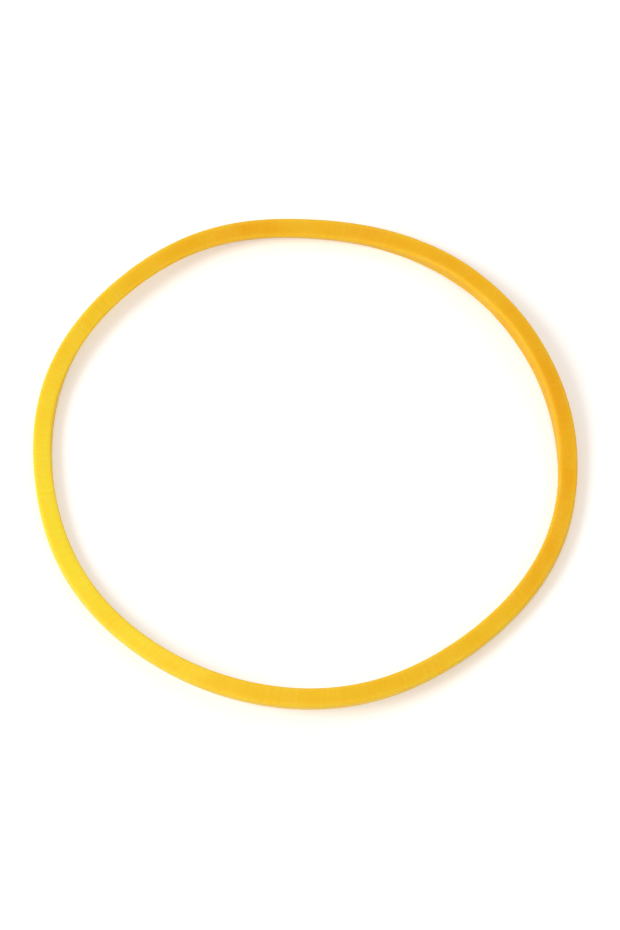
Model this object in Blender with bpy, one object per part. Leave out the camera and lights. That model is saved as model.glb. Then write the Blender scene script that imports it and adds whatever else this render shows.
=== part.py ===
# A rubber band of natural rubber, sliced from a round tube, lying loose on a flat surface.
# One closed loop in one piece. Metres, +Z up, the surface at z = 0, the loop centred on the Z axis.

import math

import bpy

# The band as it was cut: the round hole, the tube's wall and the length of the slice.
INSIDE_DIAMETER = 0.0380
WALL = 0.0014
CUT_WIDTH = 0.0014
EDGE_RADIUS = 0.0002

# How the loop strays from a circle when nothing holds it. Each wave has so many lobes round the loop,
# pushes them out by a share of the loop's radius, and has its first lobe at an angle from +X.
OUTLINE_WAVES = (
    {"lobes": 2, "push": 0.0075, "at": math.radians(-28)},
    {"lobes": 3, "push": 0.0056, "at": math.radians(20)},
    {"lobes": 4, "push": 0.0059, "at": math.radians(-12)},
    {"lobes": 5, "push": 0.0035, "at": math.radians(-12)},
    {"lobes": 6, "push": 0.0032, "at": math.radians(-16)},
    {"lobes": 7, "push": 0.0020, "at": math.radians(7)},
    {"lobes": 8, "push": 0.0018, "at": math.radians(19)},
)

# The loop touches the surface along three arcs. Between them it arches up, and the middle of each arch
# clears the surface by its rise.
RIGHT_RISE = 0.0010
BACK_RISE = 0.0008
FRONT_RISE = 0.0013
ARCHES = (
    {"start": math.radians(-10), "end": math.radians(70), "rise": RIGHT_RISE},
    {"start": math.radians(85), "end": math.radians(174), "rise": BACK_RISE},
    {"start": math.radians(198), "end": math.radians(325), "rise": FRONT_RISE},
)

# The loop lies flat on its cut face along the left arc. Round most of the rest its section is rolled, and
# where a rolled stretch touches the surface it stands on an edge. A positive roll tips the top face
# outwards. The larger the hold, the sooner a roll comes on and the longer it lasts.
ROLLS = (
    {"start": math.radians(-5), "end": math.radians(46), "roll": math.radians(9)},
    {"start": math.radians(50), "end": math.radians(174), "roll": math.radians(-22)},
    {"start": math.radians(196), "end": math.radians(352), "roll": math.radians(12)},
)
ROLL_HOLD = 3

# How finely the solid is cut.
STATIONS = 144
CORNER_STEPS = 3

RUBBER_COLOUR = (0.90, 0.50, 0.035, 1.0)
RUBBER_ROUGHNESS = 0.5


def clear_scene():
    for obj in list(bpy.data.objects):
        bpy.data.objects.remove(obj, do_unlink=True)


def rubber():
    """Pale golden natural rubber with a dull, slightly waxy surface."""
    material = bpy.data.materials.new("natural_rubber")
    material.use_nodes = True
    shader = material.node_tree.nodes["Principled BSDF"]
    shader.inputs["Base Color"].default_value = RUBBER_COLOUR
    shader.inputs["Roughness"].default_value = RUBBER_ROUGHNESS
    shader.inputs["Metallic"].default_value = 0.0
    material.diffuse_color = RUBBER_COLOUR
    return material


def section_points():
    """The cut section, clockwise: a rectangle of wall by cut width with its four corners rounded."""
    half_wall = WALL / 2 - EDGE_RADIUS
    half_width = CUT_WIDTH / 2 - EDGE_RADIUS
    points = []
    for corner, (side_x, side_y) in enumerate(((1, -1), (-1, -1), (-1, 1), (1, 1))):
        for step in range(CORNER_STEPS + 1):
            angle = -math.radians(90) * (corner + step / CORNER_STEPS)
            x = side_x * half_wall + EDGE_RADIUS * math.cos(angle)
            y = side_y * half_width + EDGE_RADIUS * math.sin(angle)
            points.append((x, y))
    return points


def wave_radius(angle, mean_radius):
    stray = sum(wave["push"] * math.cos(wave["lobes"] * (angle - wave["at"])) for wave in OUTLINE_WAVES)
    return mean_radius * (1 + stray)


def swell(angle, stretch):
    """1 in the middle of a stretch of the loop, down to 0 at its ends and outside it."""
    along = (angle - stretch["start"]) % math.tau / (stretch["end"] - stretch["start"])
    return math.sin(math.pi * along) ** 2 if along < 1 else 0.0


def rise_at(angle):
    return sum(arch["rise"] * swell(angle, arch) for arch in ARCHES)


def roll_at(angle):
    return sum(stretch["roll"] * (1 - (1 - swell(angle, stretch)) ** ROLL_HOLD) for stretch in ROLLS)


def half_height(roll):
    """Half the height of the rounded section when it is rolled."""
    across = (WALL / 2 - EDGE_RADIUS) * abs(math.sin(roll))
    upright = (CUT_WIDTH / 2 - EDGE_RADIUS) * math.cos(roll)
    return across + upright + EDGE_RADIUS


def centre_line(mean_radius):
    """The middle of the strand, station by station: x, y, z and the roll of the section."""
    stations = []
    for index in range(STATIONS):
        angle = math.tau * index / STATIONS
        radius = wave_radius(angle, mean_radius)
        roll = roll_at(angle)
        height = rise_at(angle) + half_height(roll)
        stations.append((radius * math.cos(angle), radius * math.sin(angle), height, roll))
    return stations


def line_length(stations):
    places = [station[:3] for station in stations]
    return sum(math.dist(a, b) for a, b in zip(places, places[1:] + places[:1]))


def relaxed_centre_line():
    """The loop at the radius that leaves its centre line as long as it was in the round tube."""
    round_radius = (INSIDE_DIAMETER + WALL) / 2
    relaxed_length = math.tau * round_radius
    spare = line_length(centre_line(round_radius)) - relaxed_length
    return centre_line(round_radius - spare / math.tau)


def poly_curve(name, points):
    """A closed curve with straight runs between the points."""
    curve = bpy.data.curves.new(name, "CURVE")
    curve.dimensions = "3D"
    curve.render_resolution_u = 0
    spline = curve.splines.new("POLY")
    spline.points.add(len(points) - 1)
    spline.use_cyclic_u = True
    for point, place in zip(spline.points, points):
        point.co = (*place, 1.0)
    return curve, spline


def add_object(name, data):
    obj = bpy.data.objects.new(name, data)
    bpy.context.scene.collection.objects.link(obj)
    return obj


def section_guide():
    """The section as a guide curve for the band to follow. It isn't part of the band."""
    curve, _ = poly_curve("band_section", [(x, y, 0.0) for x, y in section_points()])
    guide = add_object("band_section", curve)
    guide.hide_render = True
    guide.display_type = "WIRE"
    return guide


def rubber_band():
    stations = relaxed_centre_line()
    curve, spline = poly_curve("rubber_band", [station[:3] for station in stations])
    for point, station in zip(spline.points, stations):
        point.tilt = station[3]
    curve.twist_mode = "Z_UP"
    curve.bevel_mode = "OBJECT"
    curve.bevel_object = section_guide()
    curve.materials.append(rubber())
    band = add_object("rubber_band", curve)
    centre_over_origin(band)
    return band


def centre_over_origin(obj):
    """Moves an object level, so that its box is centred on the Z axis."""
    bpy.context.view_layer.update()
    shape = obj.evaluated_get(bpy.context.evaluated_depsgraph_get()).to_mesh()
    xs = [vertex.co.x for vertex in shape.vertices]
    ys = [vertex.co.y for vertex in shape.vertices]
    obj.location = (-(min(xs) + max(xs)) / 2, -(min(ys) + max(ys)) / 2, 0.0)


clear_scene()
rubber_band()
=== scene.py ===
import math

import bpy
import numpy as np
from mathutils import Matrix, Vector


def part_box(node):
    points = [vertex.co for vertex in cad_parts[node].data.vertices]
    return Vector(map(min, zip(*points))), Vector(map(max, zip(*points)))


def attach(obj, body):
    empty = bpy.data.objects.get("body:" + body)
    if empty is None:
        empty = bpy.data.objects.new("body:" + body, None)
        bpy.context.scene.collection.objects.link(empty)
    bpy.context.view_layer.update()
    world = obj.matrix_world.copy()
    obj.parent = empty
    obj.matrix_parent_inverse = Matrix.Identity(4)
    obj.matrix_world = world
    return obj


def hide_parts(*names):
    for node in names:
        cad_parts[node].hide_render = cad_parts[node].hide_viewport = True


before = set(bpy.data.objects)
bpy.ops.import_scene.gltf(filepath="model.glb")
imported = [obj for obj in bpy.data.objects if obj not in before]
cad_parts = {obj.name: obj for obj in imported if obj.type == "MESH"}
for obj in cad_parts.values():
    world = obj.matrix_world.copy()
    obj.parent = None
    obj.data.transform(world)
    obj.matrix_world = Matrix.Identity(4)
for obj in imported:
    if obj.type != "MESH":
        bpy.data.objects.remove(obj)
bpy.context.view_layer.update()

nodeName = "rubber_band"
mm = 0.001
degree = math.pi / 180


def addObject(name, data):
    obj = bpy.data.objects.new(name, data)
    bpy.context.scene.collection.objects.link(obj)
    return obj


def lookAlong(obj, direction):
    obj.rotation_mode = "QUATERNION"
    obj.rotation_quaternion = direction.to_track_quat("-Z", "Y")


# The strand's path. Waves push the loop out of round, it arches up between its three resting arcs,
# and its section is rolled in places. Angles run from +X, anticlockwise seen from above.
loop = {
    "insideDiameter": 38.0 * mm,
    "wall": 1.4 * mm,
    "cutWidth": 1.4 * mm,
    "edgeRadius": 0.20 * mm,
    "waves": [  # lobes, push as a share of the radius, angle of the first lobe
        (2, 0.0075, -28 * degree),
        (3, 0.0056, 20 * degree),
        (4, 0.0059, -12 * degree),
        (5, 0.0035, -12 * degree),
        (6, 0.0032, -16 * degree),
        (7, 0.0020, 7 * degree),
        (8, 0.0018, 19 * degree),
    ],
    "arches": [  # start, end, rise
        (-10 * degree, 70 * degree, 1.0 * mm),
        (85 * degree, 174 * degree, 0.8 * mm),
        (198 * degree, 325 * degree, 1.3 * mm),
    ],
    "rolls": [  # start, end, roll; the top face tips outwards where it is positive
        (-5 * degree, 46 * degree, 9 * degree),
        (50 * degree, 174 * degree, -22 * degree),
        (196 * degree, 352 * degree, 12 * degree),
    ],
    "rollHold": 3,              # the larger, the sooner a roll comes on and the longer it lasts
    "stations": 1800,           # sections round the loop
}


def waveRadius(angle, meanRadius):
    stray = sum(push * np.cos(lobes * (angle - at)) for lobes, push, at in loop["waves"])
    return meanRadius * (1 + stray)


def swell(angle, start, end):
    # 1 in the middle of a stretch of the loop, down to 0 at its ends and outside it
    along = (angle - start) % math.tau / (end - start)
    return np.where(along < 1, np.sin(math.pi * along) ** 2, 0)


def archAndRoll(angle):
    rise = sum(height * swell(angle, start, end) for start, end, height in loop["arches"])
    roll = sum(turn * (1 - (1 - swell(angle, start, end)) ** loop["rollHold"])
               for start, end, turn in loop["rolls"])
    return rise, roll


def halfHeight(roll):
    # from the lowest point of a rolled section up to its middle
    radius = loop["edgeRadius"]
    across = (loop["wall"] / 2 - radius) * np.abs(np.sin(roll))
    upright = (loop["cutWidth"] / 2 - radius) * np.cos(roll)
    return across + upright + radius


def centreLine(angle, meanRadius):
    rise, roll = archAndRoll(angle)
    radius = waveRadius(angle, meanRadius)
    height = rise + halfHeight(roll)
    return np.stack([radius * np.cos(angle), radius * np.sin(angle), height], 1), roll


def relaxedLine():
    # the radius is taken in until the resting loop is as long as the round one was
    angle = np.arange(loop["stations"]) * math.tau / loop["stations"]
    roundRadius = (loop["insideDiameter"] + loop["wall"]) / 2
    line, roll = centreLine(angle, roundRadius)
    length = np.linalg.norm(np.roll(line, -1, 0) - line, axis=1).sum()
    line, roll = centreLine(angle, roundRadius - (length / math.tau - roundRadius))
    return angle, line, roll


# The section and its small faults. All are seeded, so each run cuts the same band.
strand = {
    "seed": 11,
    "cornerSteps": 6,
    "faceSteps": 6,
    "dish": 0.015 * mm,                     # the cut faces sag a little between their edges
    "wallWander": (0.030 * mm, 1, 9),       # the tube's wall wasn't even: size, fewest, most lobes
    "cutWander": (0.020 * mm, 3, 42),       # the knife didn't run quite true
    "knifeMarks": (0.007 * mm, 150, 420),   # and left fine marks across the strand
    "markLean": 7 * degree,
    "samplesPerLobe": 8,                    # how finely the shortest lobes are drawn
    "nicks": 30,                            # small dents in the edges
    "nickDepth": (0.012 * mm, 0.040 * mm),  # the least and the most
    "nickLength": (0.12 * mm, 0.45 * mm),
    "nickReach": 0.16 * mm,                 # how far a dent reaches round its edge
    "edgeHighlightWidth": 0.16 * mm,                  # how far the painted highlights reach in from the edges
}


def wander(rng, size, fewest, most):
    # a closed wavy line round the loop, as a function of the angle
    samples = strand["samplesPerLobe"] * most
    lobes = np.arange(fewest, most + 1)
    spectrum = np.zeros(samples // 2 + 1, complex)
    spectrum[lobes] = np.exp(1j * rng.uniform(0, math.tau, len(lobes))) / np.sqrt(lobes)
    wave = np.fft.irfft(spectrum, samples)
    wave *= size / np.abs(wave).max()
    steps = np.arange(samples) * math.tau / samples
    return lambda angle: np.interp(angle, steps, wave, period=math.tau)


def sectionPlan():
    # for each point of the outline: its place between the corners, and the way out of its corner
    between = np.linspace(0, 1, strand["faceSteps"] + 2)[1:-1]
    corners = ((1, 1), (-1, 1), (-1, -1), (1, -1))
    plan = []
    for corner, (x, y) in enumerate(corners):
        nextX, nextY = corners[(corner + 1) % len(corners)]
        for step in range(strand["cornerSteps"] + 1):
            turn = (corner + step / strand["cornerSteps"]) * 90 * degree
            plan.append((x, y, math.cos(turn), math.sin(turn)))
        for share in between:
            plan.append((x + (nextX - x) * share, y + (nextY - y) * share,
                         math.cos(turn), math.sin(turn)))
    return np.array(plan).T[:, None, :]


def cutNicks(rng, around, across, upright, wallHalf, cutHalf):
    for _ in range(strand["nicks"]):
        at = rng.uniform(0, math.tau)
        cornerX, cornerY = rng.choice((-1, 1), 2)
        length = rng.uniform(*strand["nickLength"])
        depth = rng.uniform(*strand["nickDepth"])
        away = ((around - at + math.pi) % math.tau - math.pi) * loop["insideDiameter"] / 2
        gap = np.hypot(across - cornerX * wallHalf, upright - cornerY * cutHalf)
        dent = depth * np.exp(-(away / length) ** 2 - (gap / strand["nickReach"]) ** 2)
        across = across - cornerX * dent
        upright = upright - cornerY * dent
    return across, upright


def strandSections(angle):
    # where each point of each section lies, across the wall and up the cut, its painted edge
    # highlight and its knife marks
    rng = np.random.default_rng(strand["seed"])
    sideX, sideY, outX, outY = sectionPlan()
    radius = loop["edgeRadius"]
    around = angle[:, None]
    wallHalf = loop["wall"] / 2 + wander(rng, *strand["wallWander"])(around) / 2
    topCut, bottomCut = wander(rng, *strand["cutWander"]), wander(rng, *strand["cutWander"])
    topMarks, bottomMarks = wander(rng, *strand["knifeMarks"]), wander(rng, *strand["knifeMarks"])
    across = sideX * (wallHalf - radius) + radius * outX
    leaning = around + across * math.tan(strand["markLean"]) / (loop["insideDiameter"] / 2)
    marks = np.where(sideY > 0, topMarks(leaning), bottomMarks(leaning)) * outY ** 2
    cutHalf = loop["cutWidth"] / 2 + np.where(sideY > 0, topCut(around), bottomCut(around))
    upright = sideY * (cutHalf - radius) + radius * outY
    onCutFace = np.isclose(np.abs(outY), 1)
    sag = np.where(onCutFace, strand["dish"] * (1 - sideX ** 2), 0)
    upright += np.sign(outY) * (marks - sag)
    across, upright = cutNicks(rng, around, across, upright, wallHalf, cutHalf)
    # painted highlight, strongest at the edges and fading inwards
    edgeGap = np.hypot((1 - np.abs(sideX)) * wallHalf, (1 - np.abs(sideY)) * cutHalf)
    edgeHighlight = np.exp(-edgeGap / strand["edgeHighlightWidth"])
    return across, upright, edgeHighlight, marks / strand["knifeMarks"][0]


def strandPoints():
    angle, line, roll = relaxedLine()
    across, upright, edgeHighlight, marks = strandSections(angle)
    ahead = np.roll(line, -1, 0) - np.roll(line, 1, 0)
    ahead /= np.linalg.norm(ahead, axis=1)[:, None]
    up = np.array([0.0, 0.0, 1.0]) - ahead * ahead[:, 2:3]
    up /= np.linalg.norm(up, axis=1)[:, None]
    out = np.cross(ahead, up)
    cos, sin = np.cos(roll)[:, None], np.sin(roll)[:, None]
    top = up * cos + out * sin
    side = out * cos - up * sin
    points = line[:, None] + across[..., None] * side[:, None] + upright[..., None] * top[:, None]
    return angle, points, edgeHighlight, marks


def strandFaces(stations, around):
    station, point = np.divmod(np.arange(stations * around), around)
    nextStation, nextPoint = (station + 1) % stations, (point + 1) % around
    return np.stack([station * around + point, nextStation * around + point,
                     nextStation * around + nextPoint, station * around + nextPoint], 1)


# How the strand's skin is laid out flat, for maps that are baked from its material.
bakeSheet = {
    "rows": 5,              # the number of stations has to divide by it
    "margin": 0.006,
}


def bakeMap(mesh, stations, around):
    # the skin is unrolled and cut into rows that fill a square sheet
    rows, margin = bakeSheet["rows"], bakeSheet["margin"]
    perRow = stations // rows
    station, point = np.divmod(np.arange(stations * around), around)
    row, inRow = np.divmod(station, perRow)
    left, right = inRow / perRow, (inRow + 1) / perRow
    low, high = point / around, (point + 1) / around
    corners = np.stack([left, low, right, low, right, high, left, high], 1).reshape(-1, 4, 2)
    corners *= (1 - 2 * margin, 1 / rows - 2 * margin)
    corners += margin
    corners[..., 1] += row[:, None] / rows
    layer = mesh.uv_layers.new(name="OFBake")
    layer.uv.foreach_set("vector", corners.astype(np.float32).ravel())


def makeBand():
    angle, points, edgeHighlight, marks = strandPoints()
    stations, around = edgeHighlight.shape
    points = points.reshape(-1, 3)
    low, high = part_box(nodeName)
    middle = (points.min(0) + points.max(0)) / 2
    points[:, :2] += (np.array((low + high) / 2) - middle)[:2]
    mesh = bpy.data.meshes.new("rubberBand")
    mesh.from_pydata(points.tolist(), [], strandFaces(stations, around).tolist())
    mesh.shade_smooth()
    # the painted edge highlight, the knife marks and the partly painted paleness go onto the
    # points for the material
    for name, values in (("edgeHighlight", edgeHighlight), ("marks", marks), ("palenessAndPaintedLight", palenessAndPaintedLight(angle))):
        layer = mesh.attributes.new(name, "FLOAT", "POINT")
        layer.data.foreach_set("value", values.astype(np.float32).ravel())
    bakeMap(mesh, stations, around)
    mesh.materials.append(rubberFinish())
    band = addObject("rubberBand", mesh)
    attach(band, "root")
    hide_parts(nodeName)
    print("band:", len(mesh.vertices), "points,", len(mesh.polygons), "faces")


# Natural rubber: golden and a little see-through, with a satin skin and some talc left on it.
# Painted on it: highlights along the edges, light and shade in the knife marks, paler stretches
# that are partly the rubber's own colour and partly painted light, and painted shade that keeps
# the inner wall amber. Each noise has its size, its detail and the span of its values that is
# used.
rubber = {
    "amber": (0.835, 0.445, 0.003, 1),
    "lemon": (0.91, 0.73, 0.030, 1),
    # Paler stretches: partly the rubber's own drift in colour, partly painted light where the
    # light falls stronger, on the left and at the front right.
    "paleAndPaintedLightStretches": [  # start, end, how far the colour goes from amber to lemon in its middle
        (92 * degree, 306 * degree, 0.88),
        (258 * degree, 350 * degree, 0.30),
    ],
    "innerWallPaintedShade": 0.85,                 # painted shade: how much of that paleness the inner wall lacks, so it stays amber as a shaded side looks
    "mottle": {"size": 4.0 * mm, "detail": 3.0, "span": (0.3, 0.7)},
    "mottleShare": 0.24,
    # painted highlight: the edges are drawn paler, where light catches their rounded corners
    "edgeHighlightColour": (1.00, 0.60, 0.050, 1),
    "edgeHighlightShare": 0.28,
    "talcColour": (1.00, 0.80, 0.36, 1),
    "talcShare": 0.35,
    "talcPatch": {"size": 2.0 * mm, "detail": 2.0, "span": (0.45, 0.65)},
    "talcGrain": {"size": 0.09 * mm, "detail": 2.0, "span": (0.58, 0.70)},
    "markPaintedShade": 0.025,                 # painted light and shade: how much lighter a knife mark's ridge is and how much darker its groove
    "grain": {"size": 0.09 * mm, "detail": 3.0, "span": (0.3, 0.7)},
    "grainDepth": 0.006 * mm,
    "roughness": (0.42, 0.60),
    "glow": 0.70,                       # the share of the light that goes in and comes out again
    "glowReach": 1.2 * mm,
    "glowColour": (1.0, 0.42, 0.10),
    "shine": 0.18,
    "sheen": 0.03,
    "sheenRoughness": 0.4,
    "sheenColour": (1.0, 0.80, 0.35, 1),
}


def palenessAndPaintedLight(angle):
    # how far each point of each section goes from amber to lemon, partly as painted light
    stretchShare = sum(share * swell(angle, start, end) for start, end, share in rubber["paleAndPaintedLightStretches"])
    outX = sectionPlan()[2]
    # painted shade: the inner wall keeps less of the paleness and stays amber
    innerWall = np.maximum(-outX, 0) ** 2
    return stretchShare[:, None] * (1 - rubber["innerWallPaintedShade"] * innerWall)


def rubberFinish():
    material = bpy.data.materials.new("goldenRubber")
    material.use_nodes = True
    nodes, links = material.node_tree.nodes, material.node_tree.links
    shader = nodes["Principled BSDF"]

    def plug(value, socket):
        if isinstance(value, (float, tuple)):
            socket.default_value = value
        else:
            links.new(value, socket)

    def sums(operation, *values):
        made = nodes.new("ShaderNodeMath")
        made.operation = operation
        for value, socket in zip(values, made.inputs):
            plug(value, socket)
        return made.outputs["Value"]

    def noise(kind):
        made = nodes.new("ShaderNodeTexNoise")
        made.inputs["Scale"].default_value = 1 / rubber[kind]["size"]
        made.inputs["Detail"].default_value = rubber[kind]["detail"]
        links.new(where, made.inputs["Vector"])
        return made.outputs["Fac"]

    def spread(value, kind, toLow, toHigh):
        # the span of a noise that is used, stretched to run from toLow to toHigh
        made = nodes.new("ShaderNodeMapRange")
        for setting, socket in zip((value, *rubber[kind]["span"], toLow, toHigh), made.inputs):
            plug(setting, socket)
        return made.outputs["Result"]

    def blend(share, first, second):
        made = nodes.new("ShaderNodeMix")
        made.data_type = "RGBA"
        plug(share, made.inputs["Factor"])
        colourSockets = [socket for socket in made.inputs if socket.type == "RGBA"]
        for setting, socket in zip((first, second), colourSockets):
            plug(setting, socket)
        return next(socket for socket in made.outputs if socket.type == "RGBA")

    def onStrand(name):
        made = nodes.new("ShaderNodeAttribute")
        made.attribute_name = name
        return made.outputs["Fac"]

    where = nodes.new("ShaderNodeTexCoord").outputs["Object"]

    mottle = spread(noise("mottle"), "mottle", 0.0, rubber["mottleShare"])
    patches = spread(noise("talcPatch"), "talcPatch", 0.0, rubber["talcShare"])
    talc = sums("MULTIPLY", spread(noise("talcGrain"), "talcGrain", 0.0, 1.0), patches)
    # amber to lemon by the paleness, which is partly painted light, and by random mottle
    colour = blend(sums("ADD", onStrand("palenessAndPaintedLight"), mottle), rubber["amber"], rubber["lemon"])
    # painted highlight along the edges
    paintedEdgeHighlight = sums("MULTIPLY", onStrand("edgeHighlight"), rubber["edgeHighlightShare"])
    colour = blend(paintedEdgeHighlight, colour, rubber["edgeHighlightColour"])
    colour = blend(talc, colour, rubber["talcColour"])
    shade = nodes.new("ShaderNodeHueSaturation")
    # painted light on the knife marks' ridges and painted shade in their grooves
    markValue = sums("MULTIPLY_ADD", onStrand("marks"), rubber["markPaintedShade"], 1.0)
    links.new(markValue, shade.inputs["Value"])
    links.new(colour, shade.inputs["Color"])
    links.new(shade.outputs["Color"], shader.inputs["Base Color"])

    grain = noise("grain")
    links.new(spread(grain, "grain", *rubber["roughness"]), shader.inputs["Roughness"])
    bump = nodes.new("ShaderNodeBump")
    bump.inputs["Distance"].default_value = rubber["grainDepth"]
    links.new(grain, bump.inputs["Height"])
    links.new(bump.outputs["Normal"], shader.inputs["Normal"])

    shader.inputs["Subsurface Weight"].default_value = rubber["glow"]
    shader.inputs["Subsurface Radius"].default_value = rubber["glowColour"]
    shader.inputs["Subsurface Scale"].default_value = rubber["glowReach"]
    shader.inputs["Specular IOR Level"].default_value = rubber["shine"]
    shader.inputs["Sheen Weight"].default_value = rubber["sheen"]
    shader.inputs["Sheen Roughness"].default_value = rubber["sheenRoughness"]
    shader.inputs["Sheen Tint"].default_value = rubber["sheenColour"]
    print("finish:", material.name, "with", len(nodes), "nodes")
    return material


def seenDirectly(tree):
    # 1 for the camera and for reflections, 0 for light that only falls on things
    path = tree.nodes.new("ShaderNodeLightPath")
    total = path.outputs["Is Camera Ray"]
    for name in ("Is Glossy Ray", "Is Transmission Ray"):
        larger = tree.nodes.new("ShaderNodeMath")
        larger.operation = "MAXIMUM"
        tree.links.new(total, larger.inputs[0])
        tree.links.new(path.outputs[name], larger.inputs[1])
        total = larger.outputs["Value"]
    return total


def mixShaders(tree, share, first, second):
    mix = tree.nodes.new("ShaderNodeMixShader")
    tree.links.new(share, mix.inputs[0])
    tree.links.new(first.outputs[0], mix.inputs[1])
    tree.links.new(second.outputs[0], mix.inputs[2])
    return mix


# A white card to lie on. The camera sees it a little lighter than it is, so that it is white all
# over apart from the band's shadow, and plain white further out.
whiteCard = {
    "size": 6.0,
    "drop": 0.03 * mm,              # how far it is below the band's lowest points
    "colour": (0.93, 0.93, 0.93, 1),
    "lift": 0.24,                   # white that only the camera sees, on top of the card's shading
    "fadeFrom": 28 * mm,            # this far from the middle the shading starts to fade
    "fadeTo": 100 * mm,             # and here it is gone
}


def makeCard():
    half = whiteCard["size"] / 2
    mesh = bpy.data.meshes.new("card")
    corners = [(-half, -half), (half, -half), (half, half), (-half, half)]
    mesh.from_pydata([(x, y, -whiteCard["drop"]) for x, y in corners], [], [(0, 1, 2, 3)])
    card = addObject("card", mesh)
    material = bpy.data.materials.new("whiteCard")
    material.use_nodes = True
    tree = material.node_tree
    tree.nodes.clear()
    seen = seenDirectly(tree)
    shaded = tree.nodes.new("ShaderNodeBsdfDiffuse")
    shaded.inputs["Color"].default_value = whiteCard["colour"]
    lift = tree.nodes.new("ShaderNodeEmission")
    lift.inputs["Strength"].default_value = whiteCard["lift"]
    lifted = tree.nodes.new("ShaderNodeAddShader")
    tree.links.new(shaded.outputs["BSDF"], lifted.inputs[0])
    tree.links.new(lift.outputs["Emission"], lifted.inputs[1])
    near = mixShaders(tree, seen, shaded, lifted)
    white = tree.nodes.new("ShaderNodeEmission")
    length = tree.nodes.new("ShaderNodeVectorMath")
    length.operation = "LENGTH"
    tree.links.new(tree.nodes.new("ShaderNodeTexCoord").outputs["Object"], length.inputs[0])
    fade = tree.nodes.new("ShaderNodeMapRange")
    fade.inputs["From Min"].default_value = whiteCard["fadeFrom"]
    fade.inputs["From Max"].default_value = whiteCard["fadeTo"]
    tree.links.new(length.outputs["Value"], fade.inputs["Value"])
    share = tree.nodes.new("ShaderNodeMath")
    share.operation = "MULTIPLY"
    tree.links.new(seen, share.inputs[0])
    tree.links.new(fade.outputs["Result"], share.inputs[1])
    surface = mixShaders(tree, share.outputs["Value"], near, white)
    output = tree.nodes.new("ShaderNodeOutputMaterial")
    tree.links.new(surface.outputs[0], output.inputs["Surface"])
    mesh.materials.append(material)
    print("card:", whiteCard["size"], "m")


# Soft light from all round and a soft lamp at the left. The camera sees plain white behind it all.
light = {
    "soft": 0.70,
    "softColour": (1.0, 0.955, 0.925, 1),
    "backdrop": 1.0,
    "backdropColour": (1.0, 1.0, 1.0, 1),
    "lampPower": 0.80,                  # watts
    "lampSize": 0.18,                   # metres, as its place is
    "lampPlace": (-0.27, -0.08, 0.34),
    "lampColour": (0.98, 0.99, 1.0),
}


def makeLight():
    world = bpy.data.worlds.new("softWhite")
    bpy.context.scene.world = world
    world.use_nodes = True
    tree = world.node_tree
    tree.nodes.clear()
    soft = tree.nodes.new("ShaderNodeBackground")
    soft.inputs["Color"].default_value = light["softColour"]
    soft.inputs["Strength"].default_value = light["soft"]
    backdrop = tree.nodes.new("ShaderNodeBackground")
    backdrop.inputs["Color"].default_value = light["backdropColour"]
    backdrop.inputs["Strength"].default_value = light["backdrop"]
    surface = mixShaders(tree, seenDirectly(tree), soft, backdrop)
    output = tree.nodes.new("ShaderNodeOutputWorld")
    tree.links.new(surface.outputs[0], output.inputs["Surface"])

    lamp = bpy.data.lights.new("key", "AREA")
    lamp.size = light["lampSize"]
    lamp.energy = light["lampPower"]
    lamp.color = light["lampColour"]
    key = addObject("key", lamp)
    key.location = light["lampPlace"]
    lookAlong(key, -Vector(light["lampPlace"]))
    print("light: soft", light["soft"], "and a lamp of", light["lampPower"], "W")


# The camera looks down from the front, as in the photo, and the loop takes up most of the
# picture's width.
view = {
    "elevation": 66 * degree,
    "distance": 0.36,           # metres from the middle of the loop
    "picture": (620, 930),      # pixels, as the next two are
    "loopWidth": 545,
    "loopMiddle": (305, 458),
    "sensor": 36.0,             # mm
    "nearest": 0.01,            # metres; nothing closer is seen
}


def makeCamera():
    low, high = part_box(nodeName)
    middle = (low + high) / 2
    wide, tall = view["picture"]
    metresPerPixel = (high.x - low.x) / view["loopWidth"]
    lens = bpy.data.cameras.new("camera")
    lens.sensor_width = view["sensor"]
    lens.lens = view["sensor"] * view["distance"] / (metresPerPixel * tall)
    lens.clip_start = view["nearest"]
    back = Vector((0, -math.cos(view["elevation"]), math.sin(view["elevation"])))
    up = Vector((0, math.sin(view["elevation"]), math.cos(view["elevation"])))
    aside = (wide / 2 - view["loopMiddle"][0]) * metresPerPixel
    above = (view["loopMiddle"][1] - tall / 2) * metresPerPixel
    camera = addObject("camera", lens)
    camera.location = middle + back * view["distance"] + Vector((aside, 0, 0)) + up * above
    lookAlong(camera, -back)
    bpy.context.scene.camera = camera
    bpy.context.scene.view_settings.view_transform = "Standard"
    print("camera:", round(lens.lens, 1), "mm lens")


makeBand()
makeCard()
makeLight()
makeCamera()
